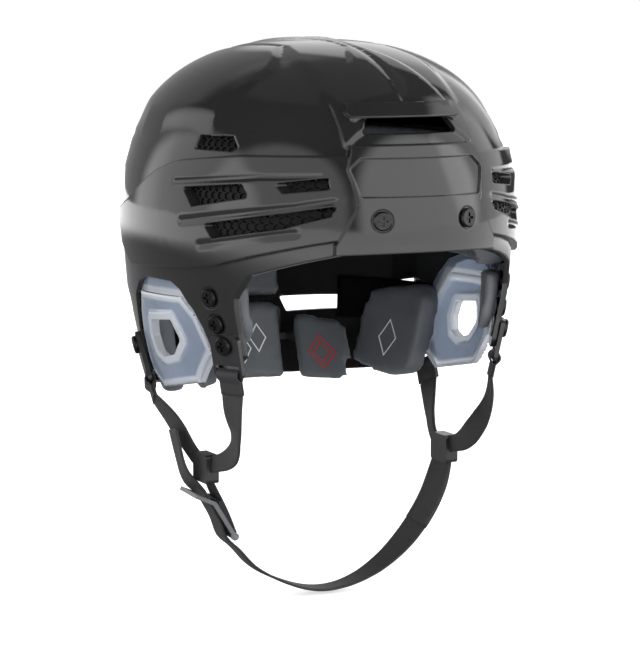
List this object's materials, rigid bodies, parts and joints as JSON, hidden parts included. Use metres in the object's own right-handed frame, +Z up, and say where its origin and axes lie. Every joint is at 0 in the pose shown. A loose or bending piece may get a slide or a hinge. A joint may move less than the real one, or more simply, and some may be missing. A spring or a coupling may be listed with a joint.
{
  "type": "ice hockey helmet",
  "caption": "Glossy black ice hockey helmet with vented shell, foam liner, translucent ear guards, rear fit dial and webbing chin strap.",
  "frame": {"origin": "centre of the head opening, at the height of the brow's lower edge", "axes": "+Z up, the wearer faces -Y, the wearer's left is +X"},
  "size_m": [0.216, 0.277, 0.3164],
  "materials": {
    "shell": "gloss black injection-moulded shell",
    "pad_foam": "dark slate-grey moulded foam with a smooth skin",
    "ear_guard": "translucent pale ice-blue plastic",
    "webbing": "woven black polyester webbing",
    "strap_hardware": "moulded black acetal",
    "snap_tab": "moulded mid-grey acetal",
    "dial_plastic": "moulded black nylon",
    "dark_steel": "black-coated steel"
  },
  "bodies": {
    "helmet": {"outer_shell": "shell", "front_cage_screws": "dark_steel", "front_tee_nuts": "dark_steel", "visor_screws": "dark_steel", "visor_tee_nuts": "dark_steel", "strap_anchor_screws": "dark_steel", "strap_anchor_nuts": "dark_steel", "front_liner_pad": "pad_foam", "left_side_liner_pad": "pad_foam", "right_side_liner_pad": "pad_foam", "upper_rear_pad": "pad_foam", "crown_liner_pad": "pad_foam", "left_temple_pad": "pad_foam", "right_temple_pad": "pad_foam", "left_ear_pad": "pad_foam", "right_ear_pad": "pad_foam", "centre_rear_pad": "pad_foam", "left_ear_guard": "ear_guard", "right_ear_guard": "ear_guard", "left_front_strap_hanger": "strap_hardware", "right_front_strap_hanger": "strap_hardware", "left_rear_strap_hanger": "strap_hardware", "right_rear_strap_hanger": "strap_hardware", "left_side_strap": "webbing", "right_side_strap": "webbing", "left_strap_slider": "strap_hardware", "right_strap_slider": "strap_hardware", "chin_strap": "webbing", "buckle_strap": "webbing", "buckle_base": "strap_hardware", "tab_pin": "dark_steel", "dial_housing": "dial_plastic", "dial_guide_plate": "dial_plastic", "guide_plate_screws": "dark_steel"},
    "fit_dial": {"fit_dial_knob": "dial_plastic", "dial_pinion": "dial_plastic"},
    "left_adjuster": {"left_rack": "dial_plastic", "left_rear_pad": "pad_foam"},
    "right_adjuster": {"right_rack": "dial_plastic", "right_rear_pad": "pad_foam"},
    "snap_tab": {"snap_tab": "snap_tab"}
  },
  "joints": [
    {"name": "dial_turn", "type": "hinge", "parent": "helmet", "child": "fit_dial", "pos_m": [0, 0.12, -0.072], "axis": [0, 1, 0], "range_deg": [-47.7, 71.6]},
    {"name": "left_pad_slide", "type": "slide", "parent": "helmet", "child": "left_adjuster", "axis": [-1, 0, 0], "range_m": [-0.004, 0.006]},
    {"name": "right_pad_slide", "type": "slide", "parent": "helmet", "child": "right_adjuster", "axis": [1, 0, 0], "range_m": [-0.004, 0.006]},
    {"name": "snap_tab_hinge", "type": "hinge", "parent": "helmet", "child": "snap_tab", "pos_m": [-0.05941, -0.00995, -0.17281], "axis": [0.0349, -0.9966, -0.0747], "range_deg": [0, 35]}
  ],
  "couplings": [
    {"joint": "left_pad_slide", "follows": "dial_turn", "m_per_rad": 0.0048},
    {"joint": "right_pad_slide", "follows": "dial_turn", "m_per_rad": 0.0048}
  ]
}
